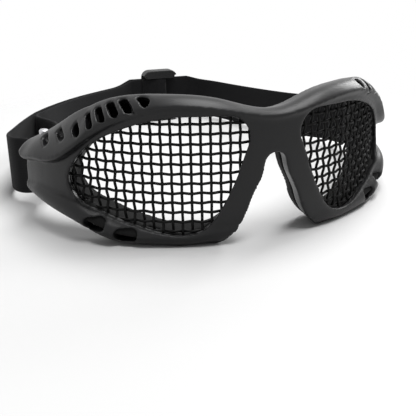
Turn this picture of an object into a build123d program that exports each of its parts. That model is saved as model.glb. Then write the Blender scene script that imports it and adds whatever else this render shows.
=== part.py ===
import os
from math import cos, degrees, pi, radians, sin, tan

from build123d import *

os.makedirs("parts", exist_ok=True)

# Mesh safety goggles: a moulded wrap frame, a soft inner face frame, two woven
# wire lenses clamped between them, and an elastic strap with a slider.
# +Z is up, -Y is the wearer's front and +X is the wearer's left.
# The origin is under the middle of the whole thing, on the table.

# Driving dimensions, in millimetres
overall_depth = 210.0
wrap_radius = 85.7
temple_arc = 108.0
frame_height = 55.4
wall = 1.8
fit_gap = 0.25
overrun = 4.0

# Brow ridge and cheek skirt, measured from the wrap's front face
brow_proud = 4.0
skirt_proud = 4.8
crest_set = 6.5
roof_depth = 12.0
floor_depth = 11.0
roof_fall = 1.2
rest_trim = 0.4
brow_crown = 1.0
lip_height = 1.4
lip_step = 0.9

# Nose notch
notch_height = 33.3
notch_half_width = 29.0
notch_flare = 1.5
nose_wall = 1.6
nose_depth = 6.0

# Lens openings, one each side
lens_inner_arc = 10.8
lens_width = 69.5
lens_base = 4.6
lens_height = 43.8
lens_angle = (lens_inner_arc + lens_width / 2) / wrap_radius

# Woven wire lenses
mesh_thickness = 1.4
mesh_margin = 1.1
mesh_pitch = 3.35
wire_diameter = 0.85

# Vents and dimples
vent_width = 3.7
vent_length = 6.8
vent_count = 4
vent_pitch = 5.3
vent_arc = 60.5
vent_lean = 38.0
vent_corner = 0.8
vent_rise_share = 0.42
end_vent_length = 7.4
end_vent_depth = 3.2
dimple_length = 7.8
dimple_width = 4.2
dimple_depth = 1.2
dimple_arc = 83.5
dimple_pitch = 9.0
dimple_rise_share = 0.5
cheek_vent_width = 8.4
cheek_vent_height = 4.8
cheek_vent_corner = 2.0
cheek_vent_arc = 61.5
cheek_vent_pitch = 11.5

# Soft inner face frame
liner_back = 12.8
flange_thickness = 2.6
tunnel_wall = 1.6
nose_apron = 2.0

# Strap, pins and slider
strap_width = 25.0
strap_thickness = 1.3
strap_neck_width = 9.6
pin_radius = 1.25
pin_head_radius = 1.8
pin_head_height = 1.8
pin_arc = 102.5
pin_clearance = 0.1
strap_room = 1.5
leg_length = 6.0
slider_width = 23.0
slider_height = 34.0
slider_rail = 3.3
slider_bar = 3.2
slider_bar_thickness = 2.0
slider_corner = 5.0
slider_round = 0.6
slider_offset = 15.5
slide_travel = 8.0
strap_hang = 3.0

# Places worked out from the sizes above
ply_gap = strap_thickness + fit_gap
front_y = brow_proud / 3 - overall_depth / 2
wrap_y = front_y + wrap_radius
run_y = overall_depth / 2 - slider_bar_thickness - fit_gap - strap_thickness / 2
run_z = slider_rail + fit_gap + strap_width / 2
run_half = slider_width / 2 + slide_travel + fit_gap
bar_y = run_y - 2 * ply_gap + strap_thickness / 2 - slider_bar_thickness / 2
pin_inset = wall + strap_room + strap_thickness + pin_clearance + pin_radius
turn_radius = pin_radius + pin_clearance + strap_thickness / 2

# The shell's cross-sections: share of the temple arc, then the heights of the
# crest, the brow's lip, the cheek line and the underside as shares of the frame
# height, then how proud the brow and the skirt stand as shares of their sizes.
station_shares = [
    (0.0, 0.888, 0.834, 0.130, -0.007, 0.30, 0.10),
    (0.093, 0.915, 0.854, 0.130, -0.007, 0.30, 0.10),
    (0.185, 0.965, 0.890, 0.125, -0.007, 0.32, 0.10),
    (0.278, 0.993, 0.915, 0.120, -0.007, 0.34, 0.12),
    (0.352, 1.000, 0.919, 0.115, -0.005, 0.36, 0.20),
    (0.463, 0.995, 0.880, 0.120, 0.008, 0.42, 0.45),
    (0.556, 0.970, 0.812, 0.160, 0.028, 0.60, 0.80),
    (0.630, 0.930, 0.725, 0.215, 0.080, 0.80, 0.96),
    (0.704, 0.880, 0.618, 0.280, 0.128, 0.95, 1.00),
    (0.778, 0.810, 0.535, 0.300, 0.166, 1.00, 0.90),
    (0.852, 0.732, 0.505, 0.302, 0.196, 0.97, 0.72),
    (0.926, 0.665, 0.490, 0.300, 0.218, 0.90, 0.50),
    (1.000, 0.605, 0.480, 0.295, 0.232, 0.76, 0.25),
]
# How much of the roof's and floor's depth is left at the temple's end
temple_depth_share = 0.75


def station_at(arc):
    """Shell sizes at a distance along the wrap, between the stations."""
    share = min(abs(arc) / temple_arc, 1.0)
    after = next(i for i, row in enumerate(station_shares) if row[0] >= share)
    low, high = station_shares[max(after - 1, 0)], station_shares[after]
    blend = (share - low[0]) / (high[0] - low[0]) if high[0] > low[0] else 0
    mixed = [a + (b - a) * blend for a, b in zip(low, high)]
    depth = 1 - (1 - temple_depth_share) * mixed[0] ** 6
    return {
        "crest": mixed[1] * frame_height,
        "lip": mixed[2] * frame_height,
        "cheek": mixed[3] * frame_height,
        "base": mixed[4] * frame_height,
        "brow": mixed[5] * brow_proud,
        "skirt": mixed[6] * skirt_proud,
        "crest_set": crest_set * depth,
        "roof": roof_depth * depth,
        "floor": floor_depth * depth,
    }


def radial_plane(arc, inset=0, height=0):
    """The plane of a cross-section: X runs towards the face and Y up."""
    angle = arc / wrap_radius
    reach = wrap_radius - inset
    return Plane(
        origin=(reach * sin(angle), wrap_y - reach * cos(angle), height),
        x_dir=(-sin(angle), cos(angle), 0),
        z_dir=(cos(angle), sin(angle), 0),
    )


def draw_plane(side, distance=0):
    """The plane tangent to one lens, from which its cuts are drawn."""
    angle = side * lens_angle
    reach = wrap_radius + distance
    return Plane(
        origin=(reach * sin(angle), wrap_y - reach * cos(angle), 0),
        x_dir=(cos(angle), sin(angle), 0),
        z_dir=(sin(angle), -cos(angle), 0),
    )


def station_arcs(last_step=0, left_out=0):
    """Both sides' stations, from the right temple round to the left one."""
    half = [row[0] * temple_arc for row in station_shares[:len(station_shares) - left_out]]
    half[-1] += last_step
    return [-arc for arc in reversed(half[1:])] + half


def shell_section(arc):
    """Outer cross-section: roof, convex brow, lip, face, skirt and floor."""
    size = station_at(arc)
    crest = (size["crest_set"], size["crest"])
    lip = (-size["brow"], size["lip"] + lip_height)
    crown = ((crest[0] + lip[0]) / 2 - brow_crown / 2, (crest[1] + lip[1]) / 2 + brow_crown)
    skirt = (-size["skirt"], (size["cheek"] + size["base"]) / 2)
    with BuildSketch(radial_plane(arc)) as section:
        with BuildLine():
            roof = Line((size["roof"], size["crest"] - roof_fall), crest)
            brow = ThreePointArc(roof @ 1, crown, lip)
            face = Polyline(
                brow @ 1,
                (lip_step - size["brow"], size["lip"]),
                (0, size["lip"] - lip_step),
                (-size["skirt"] / 4, size["cheek"]),
            )
            skirt_arc = ThreePointArc(face @ 1, skirt, (lip_height, size["base"]))
            Polyline(skirt_arc @ 1, (size["floor"], size["base"] + roof_fall), roof @ 0)
        make_face()
    return section.sketch


def cavity_section(arc):
    """Inner cross-section, one wall inside the outer one and open at the back."""
    size = station_at(arc)
    with BuildSketch(radial_plane(arc)) as section:
        with BuildLine():
            Polyline(
                (size["roof"] + overrun, size["crest"] - roof_fall - wall),
                (size["crest_set"] + wall, size["crest"] - wall),
                (wall, size["lip"] + wall / 2),
                (wall, size["cheek"]),
                (wall - size["skirt"] / 2, (size["cheek"] + size["base"] + wall) / 2),
                (2 * wall - size["skirt"] / 4, size["base"] + wall),
                (size["floor"] + overrun, size["base"] + roof_fall + wall),
                close=True,
            )
        make_face()
    return section.sketch


def liner_section(arc):
    """What the tray leaves for the inner face frame, with its fitting gap."""
    size = station_at(arc)
    front = wall + 2 * fit_gap + mesh_thickness
    with BuildSketch(radial_plane(arc)) as section:
        with BuildLine():
            Polyline(
                (liner_back, size["crest"] - roof_fall - wall - fit_gap),
                (size["crest_set"] + wall, size["crest"] - wall - roof_fall),
                (front, size["lip"] - fit_gap),
                (front, size["base"] + 2 * wall + fit_gap),
                (liner_back, size["base"] + roof_fall + wall + fit_gap),
                close=True,
            )
        make_face()
    return section.sketch


# The nose notch's outline: shares of its half width and of its height
notch_shares = [(0.18, 0.84), (0.385, 0.50), (0.555, 0.22), (0.735, 0.07)]


def notch_outline(place, spread):
    """The nose notch: an arch that runs out round to the lobes' undersides."""
    with BuildSketch(place) as outline:
        with BuildLine():
            points = [
                (across * notch_half_width + spread, up * (notch_height + spread))
                for across, up in notch_shares
            ]
            half = Spline((0, notch_height + spread), *points,
                          (notch_half_width + spread, -rest_trim), tangents=[(1, 0), (1, 0)])
            Polyline(half @ 1, (notch_half_width + spread, -overrun), (0, -overrun))
            mirror(about=Plane.YZ)
        make_face()
    return outline.sketch


def notch_cut(spread):
    """The notch drawn back through the frame, wider towards the face."""
    front = Plane(origin=(0, front_y - brow_proud - overrun, 0), x_dir=(1, 0, 0), z_dir=(0, -1, 0))
    back = front.offset(-(brow_proud + liner_back + 3 * overrun))
    with BuildPart() as cut:
        loft([notch_outline(front, spread), notch_outline(back, spread + notch_flare)])
    return cut.part


# The lens opening's outline: shares of its width from the nose side and of its height
lens_outline_shares = [
    (0.000, 0.86), (0.055, 0.975), (0.20, 1.00), (0.36, 0.995), (0.54, 0.945), (0.72, 0.84),
    (0.86, 0.71), (0.965, 0.54), (1.000, 0.40), (0.955, 0.27), (0.84, 0.185), (0.68, 0.105),
    (0.50, 0.030), (0.34, 0.000), (0.235, 0.050), (0.150, 0.215), (0.070, 0.47), (0.012, 0.72),
]


def lens_outline(place, side, grow=0):
    """A rounded triangle, widest at the brow, drawn on the lens's tangent plane."""
    spots = []
    for across, up in lens_outline_shares:
        angle = (lens_inner_arc + across * lens_width) / wrap_radius - lens_angle
        spots.append(Vector(side * wrap_radius * sin(angle), lens_base + up * lens_height))
    points = []
    for number, spot in enumerate(spots):
        along = (spots[(number + 1) % len(spots)] - spots[number - 1]).normalized()
        points.append(spot + Vector(-along.Y, along.X) * side * grow)
    with BuildSketch(place) as outline:
        with BuildLine():
            Spline(*points, periodic=True)
        make_face()
    return outline.sketch


def lens_prism(side, depth, grow=0):
    """The lens outline drawn into the frame, to a depth at the lens's ends."""
    sagitta = wrap_radius * (1 - cos(lens_width / 2 / wrap_radius))
    with BuildPart() as prism:
        extrude(lens_outline(draw_plane(side, overrun), side, grow),
                amount=-(overrun + sagitta + depth))
    return prism.part


def wrap_ring(inset, thickness):
    """A slice of the wrap cylinder, inset towards the face."""
    with BuildPart() as ring:
        with BuildSketch(Plane.XY.offset(-overrun)):
            with Locations((0, wrap_y)):
                Circle(wrap_radius - inset)
                Circle(wrap_radius - inset - thickness, mode=Mode.SUBTRACT)
            with Locations((0, wrap_y + wrap_radius)):
                Rectangle(4 * wrap_radius, 2 * wrap_radius, mode=Mode.SUBTRACT)
        extrude(amount=frame_height + 2 * overrun)
    return ring.part


# Front frame: a shallow tray with a roof, a floor and nose walls


def brow_plane(side, arc, rise_share):
    """On the brow's face, a share of the way up: X along it and Z out of it."""
    size = station_at(arc)
    climb = Vector(size["brow"] + size["crest_set"], size["crest"] - size["lip"] - lip_height)
    section = radial_plane(
        side * arc,
        climb.X * rise_share - size["brow"],
        climb.Y * rise_share + size["lip"] + lip_height,
    )
    normal = (section.y_dir * climb.X - section.x_dir * climb.Y).normalized()
    return Plane(origin=section.origin + normal * brow_crown, x_dir=section.z_dir, z_dir=normal)


def skirt_plane(side, arc):
    """Outside the middle of the cheek skirt, facing outwards."""
    size = station_at(arc)
    section = radial_plane(side * arc, -skirt_proud - overrun, (size["cheek"] + size["base"]) / 2)
    return Plane(origin=section.origin, x_dir=section.z_dir, z_dir=-section.x_dir)


def slot_outline(place, side):
    """A slot with level ends, its top leaning towards the temple."""
    shift = side * vent_length / 2 * tan(radians(vent_lean))
    half = vent_width / 2
    with BuildSketch(place) as outline:
        with BuildLine():
            Polyline((shift - half, vent_length / 2), (shift + half, vent_length / 2),
                     (half - shift, -vent_length / 2), (-half - shift, -vent_length / 2), close=True)
        make_face()
        fillet(outline.vertices(), vent_corner)
    return outline.sketch


def end_vent_outline(place, side, outwards):
    """A half-round vent, its straight edge along the neighbouring slot."""
    lean = radians(vent_lean)
    top = Vector(side * sin(lean), cos(lean)) * end_vent_length / 2
    bulge = Vector(side * cos(lean), -sin(lean)) * end_vent_depth * outwards
    with BuildSketch(place) as outline:
        with BuildLine():
            edge = Line(-top, top)
            ThreePointArc(edge @ 1, bulge, edge @ 0)
        make_face()
        fillet(outline.vertices(), vent_corner / 2)
    return outline.sketch


def brow_vents(side):
    """A row of leaning slots between two half-round vents."""
    first = vent_arc - (vent_count + 1) / 2 * vent_pitch
    with BuildPart() as cut:
        for number in range(vent_count + 2):
            place = brow_plane(side, first + number * vent_pitch, vent_rise_share).offset(wall)
            if number == 0:
                outline = end_vent_outline(place, side, -1)
            elif number == vent_count + 1:
                outline = end_vent_outline(place, side, 1)
            else:
                outline = slot_outline(place, side)
            extrude(outline, amount=-(2 * wall + overrun))
    return cut.part


def cheek_vents(side):
    """Two rounded holes through the skirt."""
    with BuildPart() as cut:
        for step in (-1, 1):
            with BuildSketch(skirt_plane(side, cheek_vent_arc + step * cheek_vent_pitch / 2)):
                RectangleRounded(cheek_vent_width, cheek_vent_height, cheek_vent_corner)
            extrude(amount=-(2 * skirt_proud + overrun))
    return cut.part


def dimples(side):
    """Two shallow leaning dimples between the vents and the temple."""
    with BuildPart() as cut:
        for step in (0, 1):
            place = brow_plane(side, dimple_arc + step * dimple_pitch, dimple_rise_share)
            turned = place.rotated((0, 0, degrees(pi / 2) - side * vent_lean))
            with BuildSketch(turned.offset(wall)):
                SlotOverall(dimple_length, dimple_width)
            extrude(amount=-(wall + dimple_depth))
    return cut.part


with BuildPart() as cavity:
    loft([cavity_section(arc) for arc in station_arcs(last_step=overrun)])
    add(notch_cut(nose_wall), mode=Mode.SUBTRACT)

with BuildPart() as nose_relief:
    add(notch_cut(nose_wall + overrun / 2))
    add(wrap_ring(nose_depth, roof_depth), mode=Mode.INTERSECT)

pin_top = {side: station_at(pin_arc)["crest"] - roof_fall / 2 for side in (-1, 1)}
pin_bottom = station_at(pin_arc)["base"] + roof_fall / 2

with BuildPart() as front_frame:
    loft([shell_section(arc) for arc in station_arcs()])
    add(cavity.part, mode=Mode.SUBTRACT)
    add(notch_cut(0), mode=Mode.SUBTRACT)
    add(nose_relief.part, mode=Mode.SUBTRACT)
    for side in (-1, 1):
        add(lens_prism(side, wall + overrun), mode=Mode.SUBTRACT)
        add(brow_vents(side), mode=Mode.SUBTRACT)
        add(cheek_vents(side), mode=Mode.SUBTRACT)
        add(dimples(side), mode=Mode.SUBTRACT)
        pin_place = radial_plane(side * pin_arc, pin_inset).origin
        with BuildSketch(Plane.XY):
            with Locations(pin_place):
                Circle(pin_radius + pin_clearance)
        extrude(amount=frame_height, mode=Mode.SUBTRACT)
        with BuildSketch(Plane.XY.offset(pin_top[side])):
            with Locations(pin_place):
                Circle(pin_head_radius + fit_gap)
        extrude(amount=frame_height, mode=Mode.SUBTRACT)
    with BuildSketch(Plane.XY):
        Rectangle(2 * overall_depth, 2 * overall_depth)
    extrude(amount=-overrun, mode=Mode.SUBTRACT)
front_frame.part.label = "front_frame"
export_step(front_frame.part, "parts/front_frame.step")

# Mesh lenses: curved sheets of square holes, a little larger than the openings
for side, name in ((-1, "right_mesh"), (1, "left_mesh")):
    window = lens_outline(Plane.XY, side, mesh_margin - mesh_pitch / 2 - wire_diameter / 2).face()
    columns = int(lens_width / mesh_pitch) + 3
    rows = int(lens_height / mesh_pitch) + 3
    grid = GridLocations(mesh_pitch, mesh_pitch, columns, rows)
    middle = Vector(0, lens_base + lens_height / 2)
    spots = [spot.position + middle for spot in grid.locations]
    with BuildPart() as holes:
        with BuildSketch(draw_plane(side, overrun)):
            with Locations(*[spot for spot in spots if window.is_inside(spot)]):
                Rectangle(mesh_pitch - wire_diameter, mesh_pitch - wire_diameter)
        extrude(amount=-(2 * overrun + frame_height / 2))
    with BuildPart() as mesh:
        add(wrap_ring(wall + fit_gap, mesh_thickness))
        add(lens_prism(side, wall + mesh_thickness + overrun, mesh_margin), mode=Mode.INTERSECT)
        add(holes.part, mode=Mode.SUBTRACT)
    mesh.part.label = name
    export_step(mesh.part, f"parts/{name}.step")

# Inner face frame: a soft flange against the face, with a tunnel up to each mesh
with BuildPart() as hollow:
    add(wrap_ring(wall, liner_back - flange_thickness - wall))
    for side in (-1, 1):
        add(lens_prism(side, liner_back + overrun, tunnel_wall), mode=Mode.SUBTRACT)
    add(notch_cut(nose_wall + fit_gap + nose_apron), mode=Mode.SUBTRACT)

with BuildPart() as nose_room:
    add(notch_cut(nose_wall + fit_gap))
    add(wrap_ring(-brow_proud, brow_proud + nose_depth + fit_gap), mode=Mode.INTERSECT)

with BuildPart() as inner_frame:
    loft([liner_section(arc) for arc in station_arcs(left_out=2)])
    add(hollow.part, mode=Mode.SUBTRACT)
    for side in (-1, 1):
        add(lens_prism(side, liner_back + overrun), mode=Mode.SUBTRACT)
    add(notch_cut(0), mode=Mode.SUBTRACT)
    add(nose_room.part, mode=Mode.SUBTRACT)
inner_frame.part.label = "inner_frame"
export_step(inner_frame.part, "parts/inner_frame.step")

# Strap pins: upright pins in the temples, their round heads on the brow
for side, name in ((-1, "right_strap_pin"), (1, "left_strap_pin")):
    pin_place = radial_plane(side * pin_arc, pin_inset).origin
    with BuildPart() as pin:
        with BuildSketch(Plane.XY.offset(pin_bottom)):
            with Locations(pin_place):
                Circle(pin_radius)
        extrude(amount=pin_top[side] - pin_bottom)
        with BuildSketch(Plane.XY.offset(pin_top[side])):
            with Locations(pin_place):
                Circle(pin_head_radius)
        extrude(amount=pin_head_height)
        chamfer(pin.edges().group_by(Axis.Z)[-1], pin_head_height / 4)
    pin.part.label = name
    export_step(pin.part, f"parts/{name}.step")

# Strap slider: two rails, two bars outside the strap and one inside it
slider_back = overall_depth / 2
slider_front = bar_y - slider_bar_thickness / 2 - ply_gap
with BuildPart() as slider:
    with BuildSketch(Plane.XZ.offset(-slider_back)):
        with Locations((slider_offset, slider_height / 2)):
            RectangleRounded(slider_width, slider_height, slider_corner)
            RectangleRounded(slider_width - 2 * slider_bar, slider_height - 2 * slider_rail,
                             slider_corner - slider_bar, mode=Mode.SUBTRACT)
    extrude(amount=slider_back - slider_front)
    with BuildSketch(Plane.XZ.offset(slider_bar_thickness - slider_back)):
        with Locations((slider_offset, slider_height / 2)):
            Rectangle(2 * slider_width, slider_height - 2 * slider_rail)
    extrude(amount=overall_depth / 4, mode=Mode.SUBTRACT)
    with BuildSketch(Plane.XY.offset(slider_rail / 2)):
        with Locations((slider_offset, bar_y)):
            Rectangle(slider_bar, slider_bar_thickness)
    extrude(amount=slider_height - slider_rail)
    chamfer(slider.edges().filter_by(Axis.Z, reverse=True).group_by(Axis.Y)[-1], slider_round)
slider.part.label = "slider_buckle"
export_step(slider.part, "parts/slider_buckle.step")

# Strap: each route runs from a temple to the back, with upright cross-sections.
# Rows: X as a share of the wrap radius, Y as a share of the way to the back run,
# the middle's height as a share of the frame height and the width as a share of
# the strap width.
right_route_shares = [
    (-0.945, 0.046, 0.372, 0.62),
    (-0.985, 0.094, 0.340, 0.84),
    (-1.008, 0.150, 0.305, 0.98),
    (-1.010, 0.205, 0.286, 1.0),
    (-0.975, 0.285, 0.270, 1.0),
    (-0.897, 0.427, 0.258, 1.0),
    (-0.803, 0.563, 0.246, 1.0),
    (-0.641, 0.708, 0.236, 1.0),
    (-0.475, 0.815, 0.232, 1.0),
    (-0.316, 0.895, 0.231, 1.0),
    (-0.160, 0.962, 0.238, 1.0),
]
left_route_shares = [
    (0.950, 0.046, 0.372, 0.62),
    (0.987, 0.094, 0.350, 0.84),
    (1.010, 0.158, 0.330, 0.98),
    (0.985, 0.245, 0.312, 1.0),
    (0.909, 0.345, 0.292, 1.0),
    (0.845, 0.450, 0.275, 1.0),
    (0.788, 0.560, 0.260, 1.0),
    (0.722, 0.690, 0.248, 1.0),
    (0.655, 0.800, 0.243, 1.0),
    (0.585, 0.900, 0.243, 1.0),
    (0.510, 0.966, 0.255, 1.0),
]
# The slack inner ply hangs in a fold behind the temple, then lies along the run
return_route_shares = [
    (-0.882, 0.0355, 0.374, 0.54),
    (-0.858, 0.085, 0.350, 0.72),
    (-0.812, 0.140, 0.322, 0.90),
    (-0.765, 0.205, 0.298, 1.0),
    (-0.742, 0.270, 0.280, 1.0),
    (-0.747, 0.330, 0.268, 1.0),
    (-0.775, 0.395, 0.258, 1.0),
    (-0.806, 0.445, 0.252, 1.0),
    (-0.822, 0.480, 0.249, 1.0),
    (-0.815, 0.512, 0.247, 1.0),
    (-0.785, 0.545, 0.245, 1.0),
    (-0.622, 0.692, 0.236, 1.0),
    (-0.458, 0.799, 0.232, 1.0),
    (-0.302, 0.878, 0.231, 1.0),
    (-0.148, 0.946, 0.238, 1.0),
]
# The sewn-back end lies inside the left run, as shares of the strap width
tail_gap_shares = [0.16, 0.115, 0.072, 0.066]

end_size = station_at(temple_arc)
neck_z = (end_size["base"] + end_size["lip"]) / 2 + lip_height
run_right = Vector(slider_offset - run_half, run_y, run_z)
run_left = Vector(slider_offset + run_half, run_y, run_z)


def leg_end(side, ply):
    """Where a pin's loop ends: ply -1 is its outer leg and 1 the inner one."""
    place = radial_plane(side * pin_arc, pin_inset + ply * turn_radius, neck_z)
    return place.origin + place.z_dir * (side * leg_length)


def strap_section(spot, heading, width):
    """An upright cross-section of the strap, square to its heading."""
    across = Vector(heading.Y, -heading.X).normalized()
    with BuildSketch(Plane(origin=spot, x_dir=across, z_dir=heading.normalized())) as section:
        Rectangle(strap_thickness, width)
    return section.sketch


def strap_run(side, rows, ply, last, inside=()):
    """Cross-sections from a pin's loop along a route to its last spot."""
    exit_y = leg_end(side, -1).Y
    first = leg_end(side, ply)
    turn = radial_plane(side * pin_arc).z_dir * side
    spots = [
        Vector(x * wrap_radius, exit_y + y * (run_y - exit_y), z * frame_height)
        for x, y, z, width in rows
    ]
    flat = [Vector(spot.X, spot.Y) for spot in [first] + spots + [last]]
    sections = [strap_section(first, turn, strap_neck_width)]
    for number, spot in enumerate(spots):
        before = flat[number + 1] - flat[number]
        after = flat[number + 2] - flat[number + 1]
        heading = before.normalized() * after.length + after.normalized() * before.length
        heading = heading.normalized()
        if inside:
            spot += Vector(-heading.Y, heading.X) * side * inside[number] * strap_width
        sections.append(strap_section(spot, heading, rows[number][3] * strap_width))
        if inside and number + 1 == len(inside):
            return sections
    return sections + [strap_section(last, Vector(-side, 0), strap_width)]


def pin_loop(side):
    """The strap's turn round a pin, with two straight legs."""
    place = radial_plane(side * pin_arc, pin_inset, neck_z - strap_neck_width / 2)
    flat = Plane(origin=place.origin, x_dir=place.z_dir * side, z_dir=(0, 0, 1))
    with BuildPart() as loop:
        with BuildSketch(flat):
            for radius, mode in (
                (turn_radius + strap_thickness / 2, Mode.ADD),
                (turn_radius - strap_thickness / 2, Mode.SUBTRACT),
            ):
                Circle(radius, mode=mode)
                Rectangle(leg_length, 2 * radius, align=(Align.MIN, Align.CENTER), mode=mode)
        extrude(amount=strap_neck_width)
    return loop.part


# Right strap loop: the turn round the right pin
with BuildPart() as right_strap_loop:
    add(pin_loop(-1))
right_strap_loop.part.label = "right_strap_loop"
export_step(right_strap_loop.part, "parts/right_strap_loop.step")

# Left strap loop: the turn round the left pin, with the end sewn back on the run
with BuildPart() as left_strap_loop:
    add(pin_loop(1))
    loft(strap_run(1, left_route_shares, 1, run_left, tail_gap_shares))
left_strap_loop.part.label = "left_strap_loop"
export_step(left_strap_loop.part, "parts/left_strap_loop.step")

# Strap band: the outer run from temple to temple, straight behind the slider
with BuildPart() as strap_band:
    loft(strap_run(-1, right_route_shares, -1, run_right)[::-1])
    with BuildSketch(Plane.XY.offset(run_z - strap_width / 2)):
        with Locations((slider_offset, run_y)):
            Rectangle(2 * run_half, strap_thickness)
    extrude(amount=strap_width)
    loft(strap_run(1, left_route_shares, -1, run_left)[::-1])
strap_band.part.label = "strap_band"
export_step(strap_band.part, "parts/strap_band.step")

# Strap return: the slack inner ply from the right pin back to the slider
loop_end = slider_offset - slider_width / 2 - fit_gap
return_y = run_y - ply_gap
with BuildPart() as strap_return:
    loft(strap_run(-1, return_route_shares, 1, Vector(run_right.X, return_y, run_z))[::-1])
    with BuildSketch(Plane.XY.offset(run_z - strap_width / 2)):
        with Locations(((run_right.X + loop_end) / 2, return_y)):
            Rectangle(loop_end - run_right.X, strap_thickness)
    extrude(amount=strap_width)
strap_return.part.label = "strap_return"
export_step(strap_return.part, "parts/strap_return.step")

# Slider strap loop: the end sewn round the slider's middle bar
turn_x = slider_offset + slider_bar / 2
flat_x = slider_offset - slider_bar / 2 - fit_gap
seam_x = loop_end + strap_hang
tail_y = bar_y - slider_bar_thickness / 2 - fit_gap - strap_thickness / 2
middle_y = (return_y + tail_y) / 2
turn_reach = turn_x + (return_y - tail_y) / 2
half_ply = strap_thickness / 2
with BuildPart() as slider_strap_loop:
    with BuildSketch(Plane.XY.offset(run_z - strap_width / 2)):
        with BuildLine():
            ply = Line((loop_end, return_y + half_ply), (turn_x, return_y + half_ply))
            turn = ThreePointArc(ply @ 1, (turn_reach + half_ply, middle_y), (turn_x, tail_y - half_ply))
            Polyline(turn @ 1, (flat_x, tail_y - half_ply), (seam_x, return_y - 3 * half_ply),
                     (loop_end, return_y - 3 * half_ply), ply @ 0)
        make_face()
        with BuildLine():
            ply = Line((seam_x, return_y - half_ply), (turn_x, return_y - half_ply))
            turn = ThreePointArc(ply @ 1, (turn_reach - half_ply, middle_y), (turn_x, tail_y + half_ply))
            Polyline(turn @ 1, (flat_x, tail_y + half_ply), ply @ 0)
        make_face(mode=Mode.SUBTRACT)
    extrude(amount=strap_width)
slider_strap_loop.part.label = "slider_strap_loop"
export_step(slider_strap_loop.part, "parts/slider_strap_loop.step")
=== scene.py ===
from math import asin, atan2, cos, pi, radians, sin

import bmesh
import bpy
from mathutils import Matrix, Vector


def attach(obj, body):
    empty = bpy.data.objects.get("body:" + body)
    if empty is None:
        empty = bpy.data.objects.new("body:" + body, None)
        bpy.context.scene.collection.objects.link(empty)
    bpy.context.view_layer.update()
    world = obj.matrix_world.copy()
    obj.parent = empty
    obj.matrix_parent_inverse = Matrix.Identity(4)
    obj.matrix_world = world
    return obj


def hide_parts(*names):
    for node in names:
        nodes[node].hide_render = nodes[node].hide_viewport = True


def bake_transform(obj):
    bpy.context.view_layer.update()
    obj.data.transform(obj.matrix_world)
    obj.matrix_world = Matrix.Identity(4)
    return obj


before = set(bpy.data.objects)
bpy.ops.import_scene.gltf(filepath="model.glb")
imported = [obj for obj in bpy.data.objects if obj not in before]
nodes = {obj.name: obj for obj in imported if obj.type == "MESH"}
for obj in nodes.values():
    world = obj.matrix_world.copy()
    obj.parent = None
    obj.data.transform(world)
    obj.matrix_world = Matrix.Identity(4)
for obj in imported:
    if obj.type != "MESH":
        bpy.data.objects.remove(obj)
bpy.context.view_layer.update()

# Front frame: one hollow moulding of satin black plastic that wraps round the face,
# with vents in its brow and cheeks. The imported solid's mesh is remeshed finely and
# relaxed to round its edges, after a few forms that the solid lacks are fused in.
WRAP, FRONT_Y = 0.0857, -0.103667
WRAP_Y = FRONT_Y + WRAP
SIDES = (-1, 1)
WELD = 0.00002
SHELL_VOXEL, SHELL_ROUNDS = 0.0006, 5

# The dome's crest and lip are (inset from the wrap, height), and its rows are (reach
# past the temple's end, share of the full section).
TEMPLE = 0.108
DOME_CREST, DOME_LIP, DOME_CROWN, DOME_STEPS = (0.0049, 0.0335), (-0.0030, 0.0280), 0.0010, 8
DOME_ROWS = [(-0.0016, 0.94), (0.0, 0.99), (0.0011, 0.93), (0.0019, 0.78), (0.0024, 0.50)]

# The brow's lip below the vents: (arc round the wrap, height, how far the brow swells).
# Its outline is (inset, share of the swell, share of the way up, rise).
LIP_ROWS = [(0.0475, 0.0494, 0.0016), (0.0540, 0.0474, 0.0020), (0.0600, 0.0450, 0.0024),
            (0.0640, 0.0426, 0.0028), (0.0680, 0.0402, 0.0032), (0.0720, 0.0372, 0.0035),
            (0.0760, 0.0342, 0.0038), (0.0800, 0.0319, 0.0039)]
LIP_LINE = [(arc, height) for arc, height, swell in LIP_ROWS]
LIP_OUTLINE = [(0.0006, 1, 0, 0.0009), (0.0013, 1, 0, 0.0003), (0.0003, 0, 0, -0.0006),
               (0.0003, 0, 0, -0.0022), (0.0017, 0, 0, -0.0022), (0.0017, 0, 0, 0.0014)]

# The nose notch: (height, half width) of the solid's edge and (height, how far it is
# drawn in), with the reach of that draw and the rear end of the nose arch.
NOTCH_EDGE = [(-0.0004, 0.0290), (0.0023, 0.0213), (0.0073, 0.0161), (0.01665, 0.0112),
              (0.0280, 0.0052), (0.0333, 0.0)]
NOTCH_SHIFT = [(0.0, 0.0042), (0.004, 0.0038), (0.008, 0.0030), (0.016, 0.0022), (0.025, 0.0017),
               (0.0333, 0.0)]
NOTCH_REACH, NOTCH_REAR = 0.0078, -0.060

# The brow vents: (arc, slide towards the temple), and the height over the lip at which
# the full slide is reached.
VENT_SHIFT = [(0.034, 0.0), (0.046, 0.0019), (0.054, 0.0017), (0.062, 0.0014), (0.068, 0.0007),
              (0.073, -0.0005), (0.082, 0.0)]
VENT_FOOT = 0.0016


def link(name, mesh):
    piece = bpy.data.objects.new(name, mesh)
    bpy.context.scene.collection.objects.link(piece)
    return piece


def on_wrap(arc, height, inset):
    """The place at an arc round the wrap and a height, inset from its surface."""
    angle = arc / WRAP
    reach = WRAP - inset
    return Vector((reach * sin(angle), WRAP_Y - reach * cos(angle), height))


def table(rows, value):
    """The value that a table of (place, size) rows gives between its rows."""
    for (a, low), (b, high) in zip(rows, rows[1:]):
        if a <= value <= b:
            return low + (high - low) * (value - a) / (b - a)
    return rows[0][1] if value < rows[0][0] else rows[-1][1]


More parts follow.
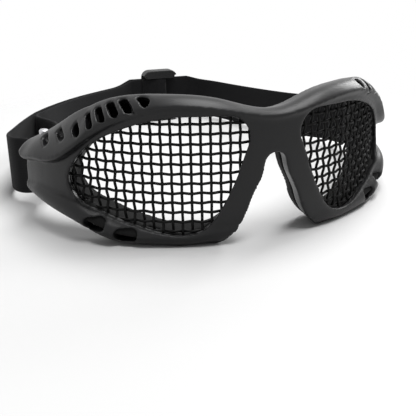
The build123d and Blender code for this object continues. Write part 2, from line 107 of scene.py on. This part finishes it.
def loft(form, sections, closed=False):
    """Bridges sections of places in their order. The ends are capped, or meet if closed."""
    part = bmesh.new()
    rings = [[part.verts.new(place) for place in places] for places in sections]
    edges = [[part.edges.new((ring[k - 1], ring[k])) for k in range(len(ring))] for ring in rings]
    for near, far in zip(edges, edges[1:] + edges[:1] if closed else edges[1:]):
        for face in bmesh.ops.bridge_loops(part, edges=near + far)["faces"]:
            face.smooth = True
    if not closed:
        part.faces.new(rings[0])
        part.faces.new(rings[-1])
    bmesh.ops.recalc_face_normals(part, faces=part.faces)
    mesh = bpy.data.meshes.new("part")
    part.to_mesh(mesh)
    part.free()
    form.from_mesh(mesh)
    bpy.data.meshes.remove(mesh)


def round_wrap(form, side, rows, outline):
    """Lofts an outline round the wrap through rows of (arc, low, high, swell)."""
    loft(form, [[on_wrap(side * arc, low + (high - low) * up + rise, inset - swell * share)
                 for inset, share, up, rise in outline]
                for arc, low, high, swell in rows])


def temple_dome(form, side):
    """The rounded cap over the brow's end at a temple."""
    (crest_in, crest_up), (lip_in, lip_up) = DOME_CREST, DOME_LIP
    middle = (crest_in + lip_in) / 2
    arch = []
    for k in range(DOME_STEPS + 1):
        t = k / DOME_STEPS
        arch.append((crest_in + (lip_in - crest_in) * t - DOME_CROWN * 2 * t * (1 - t),
                     crest_up + (lip_up - crest_up) * t + DOME_CROWN * 4 * t * (1 - t)))
    arch.append((crest_in, lip_up))
    loft(form, [[on_wrap(side * (TEMPLE + reach), lip_up + (height - lip_up) * share,
                         middle + (inset - middle) * share) for inset, height in arch]
                for reach, share in DOME_ROWS])


def shell_extras(form):
    """The temple domes, and the lips that mend the lower ends of the brow vents."""
    for side in SIDES:
        temple_dome(form, side)
        round_wrap(form, side, [(arc, lip, lip, swell) for arc, lip, swell in LIP_ROWS],
                   LIP_OUTLINE)


def moulded(name, node, voxel, rounds, extras):
    """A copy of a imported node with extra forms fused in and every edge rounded."""
    piece = link(name, nodes[node].data.copy())
    form = bmesh.new()
    form.from_mesh(piece.data)
    bmesh.ops.remove_doubles(form, verts=form.verts, dist=WELD)
    extras(form)
    form.to_mesh(piece.data)
    form.free()
    remesh = piece.modifiers.new("remesh", "REMESH")
    remesh.mode = "VOXEL"
    remesh.voxel_size = voxel
    relax = piece.modifiers.new("relax", "SMOOTH")
    relax.factor = 0.5
    relax.iterations = rounds
    graph = bpy.context.evaluated_depsgraph_get()
    mesh = bpy.data.meshes.new_from_object(piece.evaluated_get(graph))
    piece.modifiers.clear()
    piece.data = mesh
    mesh.polygons.foreach_set("use_smooth", [True] * len(mesh.polygons))
    return piece


def narrow_notch(piece):
    """Draws the nose notch's edges towards the middle, up to the lens openings."""
    for spot in piece.data.vertices:
        x, y, z = spot.co
        if y > NOTCH_REAR or z > NOTCH_EDGE[-1][0]:
            continue
        past = max(abs(x) - table(NOTCH_EDGE, z), 0.0)
        t = min(past / NOTCH_REACH, 1.0)
        spot.co.x -= (1 if x > 0 else -1) * table(NOTCH_SHIFT, z) * (1 - t * t * (3 - 2 * t))


def place_vents(piece):
    """Slides the brow's vents along the wrap to where the real frame has them."""
    for spot in piece.data.vertices:
        x, y, z = spot.co
        angle = atan2(abs(x), WRAP_Y - y)
        arc = angle * WRAP
        if not VENT_SHIFT[0][0] < arc < VENT_SHIFT[-1][0]:
            continue
        share = min(max((z - table(LIP_LINE, arc)) / VENT_FOOT, 0.0), 1.0)
        reach = Vector((x, y - WRAP_Y)).length
        angle += share * table(VENT_SHIFT, arc) / WRAP
        spot.co.x = (1 if x > 0 else -1) * reach * sin(angle)
        spot.co.y = WRAP_Y - reach * cos(angle)


def node_link(tree, source, socket, target, name):
    tree.links.new(source.outputs[socket], target.inputs[name])


def surface(name, dark, light, rough, grain, bump, mottle=60.0, gloss=0.29):
    """A mottled finish: broad noise moves its colour and gloss, fine noise its grain."""
    made = bpy.data.materials.new(name)
    made.use_nodes = True
    tree = made.node_tree
    shader = tree.nodes["Principled BSDF"]
    shader.inputs["Specular IOR Level"].default_value = gloss
    place = tree.nodes.new("ShaderNodeTexCoord")
    broad = tree.nodes.new("ShaderNodeTexNoise")
    broad.inputs["Scale"].default_value = mottle
    broad.inputs["Detail"].default_value = 6.0
    fine = tree.nodes.new("ShaderNodeTexNoise")
    fine.inputs["Scale"].default_value = grain
    fine.inputs["Detail"].default_value = 3.0
    tint = tree.nodes.new("ShaderNodeValToRGB")
    tint.color_ramp.elements[0].position = 0.3
    tint.color_ramp.elements[0].color = (*dark, 1)
    tint.color_ramp.elements[1].position = 0.75
    tint.color_ramp.elements[1].color = (*light, 1)
    polish = tree.nodes.new("ShaderNodeMapRange")
    polish.inputs["To Min"].default_value = rough[0]
    polish.inputs["To Max"].default_value = rough[1]
    relief = tree.nodes.new("ShaderNodeBump")
    relief.inputs["Strength"].default_value = bump
    relief.inputs["Distance"].default_value = 0.0002
    node_link(tree, place, "Object", broad, "Vector")
    node_link(tree, place, "Object", fine, "Vector")
    node_link(tree, broad, "Fac", tint, "Fac")
    node_link(tree, tint, "Color", shader, "Base Color")
    node_link(tree, broad, "Fac", polish, "Value")
    node_link(tree, polish, "Result", shader, "Roughness")
    node_link(tree, fine, "Fac", relief, "Height")
    node_link(tree, relief, "Normal", shader, "Normal")
    return made


def painted(piece, material):
    piece.data.materials.clear()
    piece.data.materials.append(material)


shell = moulded("shell", "front_frame", SHELL_VOXEL, SHELL_ROUNDS, shell_extras)
narrow_notch(shell)
place_vents(shell)
painted(shell, surface("frame_plastic", dark=(0.0045, 0.0045, 0.0050), light=(0.0085, 0.0085, 0.0090),
                       rough=(0.30, 0.42), grain=2600.0, bump=0.22))
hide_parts("front_frame")
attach(shell, "goggles")

# Inner face frame: one soft moulding of matte black rubber that fills the shell from
# behind, clamps the lenses and rests on the face. It is softer at its edges, and a flap
# of it stands behind the cheek vents.
LINER_VOXEL, LINER_ROUNDS = 0.0007, 8

# The flap's rows are (arc, base, cheek, swell of the skirt), and its outline is as the lip's.
FLAP_ROWS = [(0.0495, 0.0004, 0.0066, 0.0021), (0.060, 0.0016, 0.0089, 0.0038),
             (0.068, 0.0044, 0.0119, 0.0046), (0.0745, 0.0066, 0.0148, 0.0048)]
FLAP_OUTLINE = [(0.0009, 0.25, 1, 0), (0.0009, 1, 0.5, 0), (0.0022, 0, 0, 0.0009),
                (0.0046, 0, 0, 0.0016), (0.0046, 0, 0, 0.0037), (0.0042, 0.25, 0, 0.0036),
                (0.00325, 0.5, 0.5, 0), (0.0032, 0, 1, 0.0006)]


def cheek_flaps(form):
    for side in SIDES:
        round_wrap(form, side, FLAP_ROWS, FLAP_OUTLINE)


liner = moulded("liner", "inner_frame", LINER_VOXEL, LINER_ROUNDS, cheek_flaps)
narrow_notch(liner)
painted(liner, surface("liner_rubber", dark=(0.006, 0.006, 0.006), light=(0.011, 0.011, 0.011),
                       rough=(0.62, 0.78), grain=1400.0, bump=0.35, gloss=0.12))
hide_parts("inner_frame")
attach(liner, "goggles")

# Mesh lenses: steel wire cloth in black paint, curved with the wrap and clamped in the
# liner. Crimped wires run over and under each other, each cut to the lens's outline,
# and a thin rim closes the cloth's edge.

# The opening starts at LENS_IN round the wrap and LENS_LOW up, and its shares run out
# from there. WIRE is a radius, CRIMP a wire's bend to each side of the cloth's middle,
# and RIM is (growth past the opening, inset).
LENS_IN, LENS_WIDE, LENS_LOW, LENS_HIGH = 0.0108, 0.0695, 0.0046, 0.0438
LENS_INSET, LENS_MARGIN = 0.00255, 0.0009
PITCH, WIRE, CRIMP = 0.00365, 0.00054, 0.00044
FIRST_WARP, WARPS = 0.00245, 24
FIRST_WEFT, WEFTS = 0.00165, 15
WIRE_SIDES, STEPS_PER_PITCH, OUTLINE_STEPS = 7, 6, 8
RIM = [(0.0002, 0.00190), (0.0010, 0.00190), (0.0010, 0.00315), (0.0002, 0.00315)]
LENS_SHARES = [
    (0.000, 0.86), (0.055, 0.975), (0.20, 1.00), (0.36, 0.995), (0.54, 0.945), (0.72, 0.84),
    (0.86, 0.71), (0.965, 0.54), (1.000, 0.40), (0.955, 0.27), (0.84, 0.185), (0.68, 0.105),
    (0.50, 0.030), (0.34, 0.000), (0.235, 0.050), (0.150, 0.215), (0.070, 0.47), (0.012, 0.72),
]


def rounded(points):
    """A smooth ring through points."""
    ring = []
    count = len(points)
    for i in range(count):
        a, b, c, d = (Vector(points[(i + k) % count]) for k in (-1, 0, 1, 2))
        for j in range(OUTLINE_STEPS):
            t = j / OUTLINE_STEPS
            ring.append(0.5 * (2 * b + (c - a) * t + (2 * a - 5 * b + 4 * c - d) * t * t
                               + (3 * b - a - 3 * c + d) * t * t * t))
    return ring


def outline_at(grow, inset):
    """The lens outline, grown, where its straight-walled opening meets an inset."""
    spots = []
    middle = LENS_IN + LENS_WIDE / 2
    for i, spot in enumerate(lens_ring):
        along = (lens_ring[(i + 1) % len(lens_ring)] - lens_ring[i - 1]).normalized()
        out = spot + Vector((-along.y, along.x)) * grow
        flat = WRAP * sin((out.x - middle) / WRAP)
        spots.append(Vector((middle + WRAP * asin(flat / (WRAP - inset)), out.y)))
    return spots


def crossings(ring, axis, value):
    """The least and the greatest place where a ring crosses a value of its axis."""
    found = []
    for p, q in zip(ring, ring[1:] + ring[:1]):
        if (p[axis] - value) * (q[axis] - value) < 0:
            t = (value - p[axis]) / (q[axis] - p[axis])
            found.append(p[1 - axis] + t * (q[1 - axis] - p[1 - axis]))
    return (min(found), max(found)) if found else None


def tube(form, path, normals, radius, sides):
    """A round wire or thread along a path."""
    sections = []
    for i, spot in enumerate(path):
        along = (path[min(i + 1, len(path) - 1)] - path[max(i - 1, 0)]).normalized()
        across = along.cross(normals[i]).normalized()
        up = across.cross(along)
        sections.append([spot + radius * (cos(2 * pi * k / sides) * up + sin(2 * pi * k / sides) * across)
                         for k in range(sides)])
    loft(form, sections)


def wires(form, side, axis, first, count, other_first):
    """The warp wires (axis 0, at even arcs) or the weft wires (axis 1, at even heights)."""
    for i in range(count):
        place = first + i * PITCH
        span = crossings(wire_ends, axis, place)
        if span is None:
            continue
        path, normals = [], []
        steps = max(2, int((span[1] - span[0]) / (PITCH / STEPS_PER_PITCH)))
        for j in range(steps + 1):
            along = span[0] + (span[1] - span[0]) * j / steps
            wave = CRIMP * cos(pi * (along - other_first) / PITCH) * (-1) ** (i + axis)
            arc, height = (along, place) if axis else (place, along)
            path.append(on_wrap(side * arc, height, LENS_INSET - wave))
            normals.append(Vector((sin(side * arc / WRAP), -cos(side * arc / WRAP), 0)))
        tube(form, path, normals, WIRE, WIRE_SIDES)


lens_ring = rounded([(LENS_IN + a * LENS_WIDE, LENS_LOW + b * LENS_HIGH) for a, b in LENS_SHARES])
wire_ends = outline_at(LENS_MARGIN, LENS_INSET)
mesh_steel = surface("mesh_steel", dark=(0.003, 0.003, 0.003), light=(0.007, 0.007, 0.007),
                     rough=(0.36, 0.55), grain=5200.0, bump=0.3, mottle=400.0, gloss=0.12)
for side, name in zip(SIDES, ("right", "left")):
    form = bmesh.new()
    wires(form, side, 0, FIRST_WARP, WARPS, FIRST_WEFT)
    wires(form, side, 1, FIRST_WEFT, WEFTS, FIRST_WARP)
    loft(form, [[on_wrap(side * spot.x, spot.y, inset) for spot in outline_at(grow, inset)]
                for grow, inset in RIM], closed=True)
    cloth = link(name + "_woven_lens", bpy.data.meshes.new(name + "_woven_lens"))
    form.to_mesh(cloth.data)
    form.free()
    painted(cloth, mesh_steel)
    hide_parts(name + "_mesh")
    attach(cloth, "goggles")

# Strap pins: a headed steel pin stands upright through each temple's end and holds the
# strap's loop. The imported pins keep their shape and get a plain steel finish.
pin_steel = surface("pin_steel", dark=(0.42, 0.42, 0.43), light=(0.58, 0.58, 0.60),
                    rough=(0.30, 0.48), grain=900.0, bump=0.15)
pin_steel.node_tree.nodes["Principled BSDF"].inputs["Metallic"].default_value = 1.0
for name in ("right_strap_pin", "left_strap_pin"):
    painted(nodes[name], pin_steel)

# Elastic strap: one length of black webbing, sewn round the left pin, laid through the
# slider, round the right pin and back to the slider's bar. It is swept upright along its
# route, with rounded selvedges, and its weave runs on along it by UV.

# The webbing narrows to NECK beside the pin at PIN_ARC, whose turn has the radius TURN.
# Its outer ply lies straight at RUN_Y from RUN_LEFT to RUN_RIGHT, and its returning ply
# comes to RETURN_Y.
STRAP, PLY = 0.025, 0.0013
FLAT_STEPS, EDGE_STEPS, ROUTE_GAP, LEAST_SPAN, UV_SCALE = 10, 5, 0.0011, 1e-6, 100
PIN_ARC, PIN_INSET, TURN, LEG, TURN_STEPS = 0.1025, 0.00595, 0.0020, 0.006, 8
NECK_Z, NECK = 0.02111, 0.0096
RUN_Y, RUN_Z, RETURN_Y = 0.10210, 0.01605, 0.10055
RUN_RIGHT, RUN_LEFT, RUN_END = -0.00425, 0.03525, 0.0012

# The routes' rows are (x, y, z of the webbing's middle, its width there).
RIGHT_ROUTE = [
    (-0.0776, -0.0372, 0.0203, 0.0140), (-0.0778, -0.0322, 0.0186, 0.0200),
    (-0.0790, -0.0279, 0.0168, 0.0240), (-0.0813, -0.0249, 0.0162, 0.0250),
    (-0.0839, -0.0225, 0.0160, 0.0250), (-0.0858, -0.0186, 0.0159, 0.0250),
    (-0.0865, -0.0127, 0.0157, 0.0250), (-0.0836, -0.0011, 0.0150, 0.0250),
    (-0.0769, 0.0194, 0.0143, 0.0250), (-0.0688, 0.0390, 0.0136, 0.0250),
    (-0.0549, 0.0599, 0.0131, 0.0250), (-0.0407, 0.0754, 0.0129, 0.0250),
    (-0.0271, 0.0869, 0.0128, 0.0250), (-0.0137, 0.0966, 0.0132, 0.0250),
]
LEFT_ROUTE = [
    (0.0814, -0.0357, 0.0206, 0.0155), (0.0846, -0.0287, 0.0194, 0.0210),
    (0.0865, -0.0195, 0.0183, 0.0247), (0.0844, -0.0069, 0.0173, 0.0250),
    (0.0779, 0.0075, 0.0162, 0.0250), (0.0724, 0.0227, 0.0152, 0.0250),
    (0.0675, 0.0386, 0.0144, 0.0250), (0.0619, 0.0573, 0.0137, 0.0250),
    (0.0561, 0.0732, 0.0135, 0.0250), (0.0501, 0.0877, 0.0136, 0.0250),
    (0.0432, 0.0982, 0.0140, 0.0250),
]
TAIL_ROUTE = [
    (0.0779, -0.0350, 0.0205, 0.0160), (0.0818, -0.0282, 0.0193, 0.0215),
    (0.0847, -0.0200, 0.0182, 0.0247), (0.0829, -0.0078, 0.0172, 0.0250),
]
RETURN_ROUTE = [
    (-0.0750, -0.0366, 0.0206, 0.0140), (-0.0722, -0.0290, 0.0192, 0.0195),
    (-0.0683, -0.0205, 0.0177, 0.0235), (-0.0652, -0.0115, 0.0164, 0.0250),
    (-0.0638, -0.0015, 0.0153, 0.0250), (-0.0646, 0.0075, 0.0147, 0.0250),
    (-0.0668, 0.0155, 0.0142, 0.0250), (-0.0693, 0.0225, 0.0139, 0.0250),
    (-0.0706, 0.0272, 0.0137, 0.0250), (-0.0700, 0.0318, 0.0136, 0.0250),
    (-0.0668, 0.0369, 0.0135, 0.0250), (-0.0533, 0.0577, 0.0131, 0.0250),
    (-0.0392, 0.0732, 0.0129, 0.0250), (-0.0258, 0.0846, 0.0129, 0.0250),
    (-0.0123, 0.0948, 0.0133, 0.0250), (RUN_RIGHT, RETURN_Y, 0.0152, STRAP),
    (0.0, RETURN_Y, 0.0158, STRAP),
]

# The sewn loop round the slider's bar, which meets the returning ply at LOOP_X.
LOOP_X, BAR_X, BAR_TURN, TAIL_Y = 0.00375, 0.0171, 0.00180, 0.09695
LOOP_START = [(LOOP_X, RETURN_Y, RUN_Z, STRAP), (0.010, RETURN_Y, RUN_Z, STRAP)]
LOOP_END = [(0.0137, TAIL_Y, RUN_Z, STRAP), (0.0085, 0.0986, RUN_Z, STRAP),
            (LOOP_X, 0.09925, RUN_Z, STRAP)]

# Thread: bar tacks across the left loop, and a seam at each (x, y) of the slider's loop.
STITCH, STITCH_GAP, THREAD, THREAD_SIDES, SEAM_MARGIN = 0.0022, 0.12, 0.00017, 6, 0.0022
STITCH_RISE, STITCH_SHOULDER, SHOULDER_SHARE = 0.00022, 0.00009, 0.6
TACKS_Y, TACK_LIFT = (-0.0105, -0.0125, -0.0145, -0.0165), 0.00002
SEAMS, SEAM_LIFT = ((0.0048, 0.09910), (0.0066, 0.09880)), 0.00004


def at_pin(side, along, inwards):
    """A route's row beside a pin: so far behind it, and so far inside it."""
    angle = side * PIN_ARC / WRAP
    centre = on_wrap(side * PIN_ARC, NECK_Z, PIN_INSET)
    rear = side * Vector((cos(angle), sin(angle), 0))
    inner = Vector((-sin(angle), cos(angle), 0))
    return (*(centre + rear * along + inner * inwards), NECK)


def pin_turn(side, first):
    """The rows of the turn round a pin, from its outer (1) or inner (-1) leg."""
    turn = [at_pin(side, LEG, -TURN * first), at_pin(side, LEG / 2, -TURN * first)]
    turn += [at_pin(side, -TURN * sin(pi * k / TURN_STEPS), -TURN * first * cos(pi * k / TURN_STEPS))
             for k in range(TURN_STEPS + 1)]
    return turn + [at_pin(side, LEG / 2, TURN * first), at_pin(side, LEG, TURN * first)]


def bar_turn():
    """The rows of the turn round the slider's bar."""
    middle = (RETURN_Y + TAIL_Y) / 2
    return [(BAR_X + BAR_TURN * sin(pi * k / TURN_STEPS),
             middle + (RETURN_Y - middle) * cos(pi * k / TURN_STEPS), RUN_Z, STRAP)
            for k in range(TURN_STEPS + 1)]


def smoothed(rows):
    """A smooth path through rows, with places a little over a millimetre apart."""
    made = []
    for i in range(len(rows) - 1):
        a, b, c, d = (Vector(rows[min(max(i + k, 0), len(rows) - 1)]) for k in (-1, 0, 1, 2))
        span = max((c.xyz - b.xyz).length, LEAST_SPAN)
        into = (c - a) * span / max((c.xyz - a.xyz).length, LEAST_SPAN)
        out = (d - b) * span / max((d.xyz - b.xyz).length, LEAST_SPAN)
        steps = max(1, round(span / ROUTE_GAP))
        for j in range(steps):
            t = j / steps
            made.append(b * (1 + t * t * (2 * t - 3)) + c * (t * t * (3 - 2 * t))
                        + into * (t * (t - 1) ** 2) + out * (t * t * (t - 1)))
    return made + [Vector(rows[-1])]


def facing(path, i):
    """The level direction out of the webbing's outer face at a place of its path."""
    heading = path[min(i + 1, len(path) - 1)] - path[max(i - 1, 0)]
    return Vector((heading.y, -heading.x, 0)).normalized()


def ribbon(rows, start=0.0):
    """A form of webbing swept through rows, with its UV, and the length laid at its end."""
    path = smoothed(rows)
    half = PLY / 2
    sections, lengths = [], [start]
    for i, spot in enumerate(path):
        reach = spot.w / 2 - half
        face = [(half, -reach + 2 * reach * k / FLAT_STEPS) for k in range(FLAT_STEPS + 1)]
        face += [(half * cos(pi * k / EDGE_STEPS), reach + half * sin(pi * k / EDGE_STEPS))
                 for k in range(1, EDGE_STEPS)]
        out = facing(path, i)
        sections.append([spot.xyz + out * a + Vector((0, 0, b))
                         for a, b in face + [(-a, -b) for a, b in face]])
        if i:
            lengths.append(lengths[-1] + (spot - path[i - 1]).xyz.length)
    form = bmesh.new()
    loft(form, sections)
    uv = form.loops.layers.uv.verify()
    around = FLAT_STEPS + EDGE_STEPS
    for i, vert in enumerate(form.verts):
        place, k = divmod(i, 2 * around)
        across = STRAP * (around - abs(around - k)) / around
        for corner in vert.link_loops:
            corner[uv].uv = (across * UV_SCALE, lengths[place] * UV_SCALE)
    return form, lengths[-1]


def stitches(form, foot, out, width):
    """A row of stitches up the webbing's width, standing out of its face."""
    rise = Vector((0, 0, width / 2 - SEAM_MARGIN))
    count = max(1, round(2 * rise.length / STITCH))
    for k in range(count):
        low = foot + rise * (2 * (k + STITCH_GAP) / count - 1)
        high = foot + rise * (2 * (k + 1 - STITCH_GAP) / count - 1)
        top = (low + high) / 2 + out * STITCH_RISE
        shoulders = [end.lerp(top, SHOULDER_SHARE) + out * STITCH_SHOULDER for end in (low, high)]
        tube(form, [low, shoulders[0], top, shoulders[1], high], [out] * 5, THREAD, THREAD_SIDES)


def bar_tack(form, rows, sewn_y, face):
    """A row of stitches up the webbing's outer (1) or inner (-1) face."""
    path = smoothed(rows)
    at = min(range(1, len(path) - 1), key=lambda i: abs(path[i].y - sewn_y))
    out = facing(path, at) * face
    stitches(form, path[at].xyz + out * (PLY / 2 + TACK_LIFT), out, path[at].w)


def weave(name, dark, light):
    """Elastic webbing: cords and picks laid by UV, with a little fuzz."""
    made = bpy.data.materials.new(name)
    made.use_nodes = True
    tree = made.node_tree
    shader = tree.nodes["Principled BSDF"]
    place = tree.nodes.new("ShaderNodeUVMap")
    cords = tree.nodes.new("ShaderNodeTexWave")
    cords.bands_direction = "X"
    cords.inputs["Scale"].default_value = 5.8
    cords.inputs["Distortion"].default_value = 0.35
    picks = tree.nodes.new("ShaderNodeTexWave")
    picks.bands_direction = "Y"
    picks.inputs["Scale"].default_value = 8.0
    picks.inputs["Distortion"].default_value = 0.5
    crossed = tree.nodes.new("ShaderNodeMath")
    crossed.operation = "MULTIPLY"
    fuzz = tree.nodes.new("ShaderNodeTexNoise")
    fuzz.inputs["Scale"].default_value = 55.0
    fuzz.inputs["Detail"].default_value = 5.0
    whole = tree.nodes.new("ShaderNodeMath")
    whole.operation = "MULTIPLY_ADD"
    whole.inputs[1].default_value = 0.5
    tint = tree.nodes.new("ShaderNodeValToRGB")
    tint.color_ramp.elements[0].position = 0.15
    tint.color_ramp.elements[0].color = (*dark, 1)
    tint.color_ramp.elements[1].position = 0.95
    tint.color_ramp.elements[1].color = (*light, 1)
    relief = tree.nodes.new("ShaderNodeBump")
    relief.inputs["Strength"].default_value = 0.40
    relief.inputs["Distance"].default_value = 0.00012
    node_link(tree, place, "UV", cords, "Vector")
    node_link(tree, place, "UV", picks, "Vector")
    node_link(tree, place, "UV", fuzz, "Vector")
    node_link(tree, cords, "Fac", crossed, 0)
    node_link(tree, picks, "Fac", crossed, 1)
    node_link(tree, fuzz, "Fac", whole, 0)
    node_link(tree, crossed, 0, whole, 2)
    node_link(tree, whole, 0, tint, "Fac")
    node_link(tree, tint, "Color", shader, "Base Color")
    node_link(tree, whole, 0, relief, "Height")
    node_link(tree, relief, "Normal", shader, "Normal")
    shader.inputs["Roughness"].default_value = 0.85
    shader.inputs["Specular IOR Level"].default_value = 0.16
    shader.inputs["Sheen Weight"].default_value = 0.05
    shader.inputs["Sheen Roughness"].default_value = 0.45
    return made


def webbing_piece(name, form, body, replaced):
    piece = link(name, bpy.data.meshes.new(name))
    form.to_mesh(piece.data)
    form.free()
    painted(piece, webbing)
    if replaced:
        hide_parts(*replaced)
    if body:
        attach(piece, body)
    return piece


webbing = weave("strap_webbing", dark=(0.0035, 0.0035, 0.0040), light=(0.0115, 0.0115, 0.0125))
route = TAIL_ROUTE[::-1] + pin_turn(1, -1) + LEFT_ROUTE
route += [(x, RUN_Y, RUN_Z, STRAP) for x in (RUN_LEFT, RUN_LEFT - RUN_END, (RUN_LEFT + RUN_RIGHT) / 2,
                                             RUN_RIGHT + RUN_END, RUN_RIGHT)]
route += RIGHT_ROUTE[::-1] + pin_turn(-1, 1)
form, laid = ribbon(route)
for sewn_y in TACKS_Y:
    bar_tack(form, LEFT_ROUTE, sewn_y, 1)
    bar_tack(form, TAIL_ROUTE, sewn_y, -1)
webbing_piece("strap", form, "goggles", ("strap_band", "left_strap_loop", "right_strap_loop"))

form, laid = ribbon([at_pin(-1, LEG, TURN)] + RETURN_ROUTE + LOOP_START[:1], start=laid)
strap_return = webbing_piece("strap_return_ply", form, None, ("strap_return",))
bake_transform(strap_return)

form = ribbon(LOOP_START + bar_turn() + LOOP_END, start=laid)[0]
for x, y in SEAMS:
    inwards = Vector((0, -1, 0))
    stitches(form, Vector((x, y, RUN_Z)) + inwards * (PLY / 2 + SEAM_LIFT), inwards, STRAP)
webbing_piece("slider_webbing", form, "slider", ("slider_strap_loop",))

# Slider: a three-bar buckle of matte black plastic that holds the returning end and
# slides on the outer ply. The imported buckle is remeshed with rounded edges, with its
# upper rail made as deep as the real one's by a bar fused in under it.
BUCKLE_VOXEL, BUCKLE_ROUNDS = 0.0004, 4
RAIL_PLACE, RAIL_SIZE = (0.0155, 0.1004, 0.0300), (0.0195, 0.0086, 0.0026)


def rail_fill(form):
    bmesh.ops.create_cube(form, size=1.0, matrix=Matrix.LocRotScale(RAIL_PLACE, None, RAIL_SIZE))


buckle = moulded("buckle", "slider_buckle", BUCKLE_VOXEL, BUCKLE_ROUNDS, rail_fill)
painted(buckle, surface("slider_plastic", dark=(0.0050, 0.0050, 0.0055), light=(0.0090, 0.0090, 0.0095),
                        rough=(0.36, 0.50), grain=2200.0, bump=0.25))
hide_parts("slider_buckle")
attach(buckle, "slider")

# Stage: a pale floor that keeps the soft shadow and fades out round the goggles, under
# a world that camera, glossy and transmitted rays see as white, and two soft lamps:
# one over the brow, one behind the wearer's left.
FLOOR_REACH, FLOOR_DROP, FADE_FROM, FADE_TO = 3, 0.0002, 0.11, 0.24
FLOOR_GREY, SKY = 0.86, 0.20
LAMPS = [("top", (0.14, -0.08, 0.88), (0, -0.03, 0.02), (0.84, 0.40), 8.4),
         ("rear_left", (0.70, 0.33, 0.44), (0.02, -0.06, 0.03), (0.36, 0.36), 3.2)]

form = bmesh.new()
bmesh.ops.create_grid(form, x_segments=1, y_segments=1, size=FLOOR_REACH)
floor = link("floor", bpy.data.meshes.new("floor"))
form.to_mesh(floor.data)
form.free()
floor.location.z = -FLOOR_DROP
floor_paint = bpy.data.materials.new("floor_paint")
floor_paint.use_nodes = True
tree = floor_paint.node_tree
shader = tree.nodes["Principled BSDF"]
shader.inputs["Base Color"].default_value = (FLOOR_GREY, FLOOR_GREY, FLOOR_GREY, 1)
shader.inputs["Roughness"].default_value = 0.9
shader.inputs["Specular IOR Level"].default_value = 0.0
place = tree.nodes.new("ShaderNodeTexCoord")
reach = tree.nodes.new("ShaderNodeVectorMath")
reach.operation = "LENGTH"
fade = tree.nodes.new("ShaderNodeMapRange")
fade.inputs["From Min"].default_value = FADE_FROM
fade.inputs["From Max"].default_value = FADE_TO
fade.inputs["To Min"].default_value = 1.0
fade.inputs["To Max"].default_value = 0.0
node_link(tree, place, "Object", reach, "Vector")
node_link(tree, reach, "Value", fade, "Value")
node_link(tree, fade, "Result", shader, "Alpha")
floor.data.materials.append(floor_paint)

world = bpy.data.worlds.new("studio")
bpy.context.scene.world = world
world.use_nodes = True
tree = world.node_tree
sky = tree.nodes["Background"]
sky.inputs["Color"].default_value = (1, 1, 1, 1)
paths = tree.nodes.new("ShaderNodeLightPath")
seen = tree.nodes.new("ShaderNodeMath")
seen.operation = "MAXIMUM"
seen_all = tree.nodes.new("ShaderNodeMath")
seen_all.operation = "MAXIMUM"
level = tree.nodes.new("ShaderNodeMapRange")
level.inputs["To Min"].default_value = SKY
level.inputs["To Max"].default_value = 1.0
node_link(tree, paths, "Is Camera Ray", seen, 0)
node_link(tree, paths, "Is Glossy Ray", seen, 1)
node_link(tree, seen, 0, seen_all, 0)
node_link(tree, paths, "Is Transmission Ray", seen_all, 1)
node_link(tree, seen_all, 0, level, "Value")
node_link(tree, level, "Result", sky, "Strength")

for name, spot, target, size, power in LAMPS:
    light = bpy.data.lights.new(name, "AREA")
    light.shape = "RECTANGLE"
    light.size, light.size_y = size
    light.energy = power
    lamp = link(name, light)
    lamp.location = spot
    lamp.rotation_mode = "QUATERNION"
    lamp.rotation_quaternion = (Vector(target) - Vector(spot)).to_track_quat("-Z", "Y")

# Camera: the photograph's viewpoint, fitted to the outlines of the frame and lenses.
# Its focal length and the image point that it faces are in the photograph's pixels.
AZIMUTH, ELEVATION, DISTANCE = radians(-24.10), radians(16.62), 0.24017
AIM = Vector((0, FRONT_Y + 0.030, 0.0262))
PHOTO_PX, FOCAL_PX, FACED_PX = 416, 587.54, (243.21, 151.04)

back = Vector((sin(AZIMUTH) * cos(ELEVATION), -cos(AZIMUTH) * cos(ELEVATION), sin(ELEVATION)))
lens = bpy.data.cameras.new("camera")
camera = link("camera", lens)
camera.location = AIM + back * DISTANCE
camera.rotation_mode = "QUATERNION"
camera.rotation_quaternion = (-back).to_track_quat("-Z", "Y")
lens.sensor_width = 36.0
lens.lens = FOCAL_PX * lens.sensor_width / PHOTO_PX
lens.shift_x = (PHOTO_PX / 2 - FACED_PX[0]) / PHOTO_PX
lens.shift_y = (FACED_PX[1] - PHOTO_PX / 2) / PHOTO_PX
lens.clip_start, lens.clip_end = 0.01, 50
bpy.context.scene.camera = camera
bpy.context.scene.view_settings.view_transform = "Standard"
